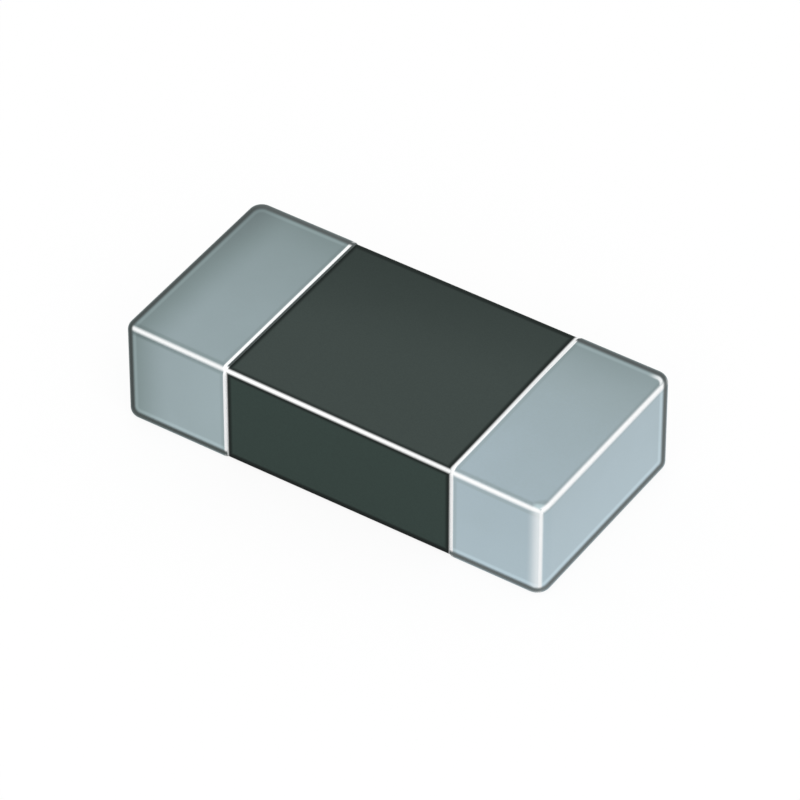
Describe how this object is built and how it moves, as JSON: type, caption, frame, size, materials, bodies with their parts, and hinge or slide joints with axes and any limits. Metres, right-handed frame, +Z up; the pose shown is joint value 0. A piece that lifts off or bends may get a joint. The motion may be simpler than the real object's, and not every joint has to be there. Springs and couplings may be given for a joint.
{
  "type": "smd inductor",
  "caption": "Rectangular multilayer ferrite chip inductor with a plated solder cap round each end and a printed silver winding fired inside the ferrite.",
  "frame": {"origin": "middle of the chip's footprint, on the plane of the undersides of the two end caps", "axes": "+X along the length towards the narrower cap, +Y across the width, +Z up, away from the board"},
  "size_m": [0.0032, 0.0016, 0.0008],
  "materials": {
    "ferrite": "fired, matt, fine grained",
    "winding_silver": "sintered silver print",
    "silver_base": "sintered silver base coat",
    "nickel_barrier": "plated nickel",
    "tin_plating": "matt tin plating"
  },
  "bodies": {
    "root": {"ferrite_body": "ferrite", "winding_print_1": "winding_silver", "winding_print_2": "winding_silver", "winding_print_3": "winding_silver", "winding_print_4": "winding_silver", "winding_print_5": "winding_silver", "winding_print_6": "winding_silver", "winding_print_7": "winding_silver", "winding_print_8": "winding_silver", "winding_print_9": "winding_silver", "winding_print_10": "winding_silver", "via_1": "winding_silver", "via_2": "winding_silver", "via_3": "winding_silver", "via_4": "winding_silver", "via_5": "winding_silver", "via_6": "winding_silver", "via_7": "winding_silver", "via_8": "winding_silver", "via_9": "winding_silver", "left_silver_base": "silver_base", "left_nickel_barrier": "nickel_barrier", "left_tin_plating": "tin_plating", "right_silver_base": "silver_base", "right_nickel_barrier": "nickel_barrier", "right_tin_plating": "tin_plating"}
  },
  "joints": []
}
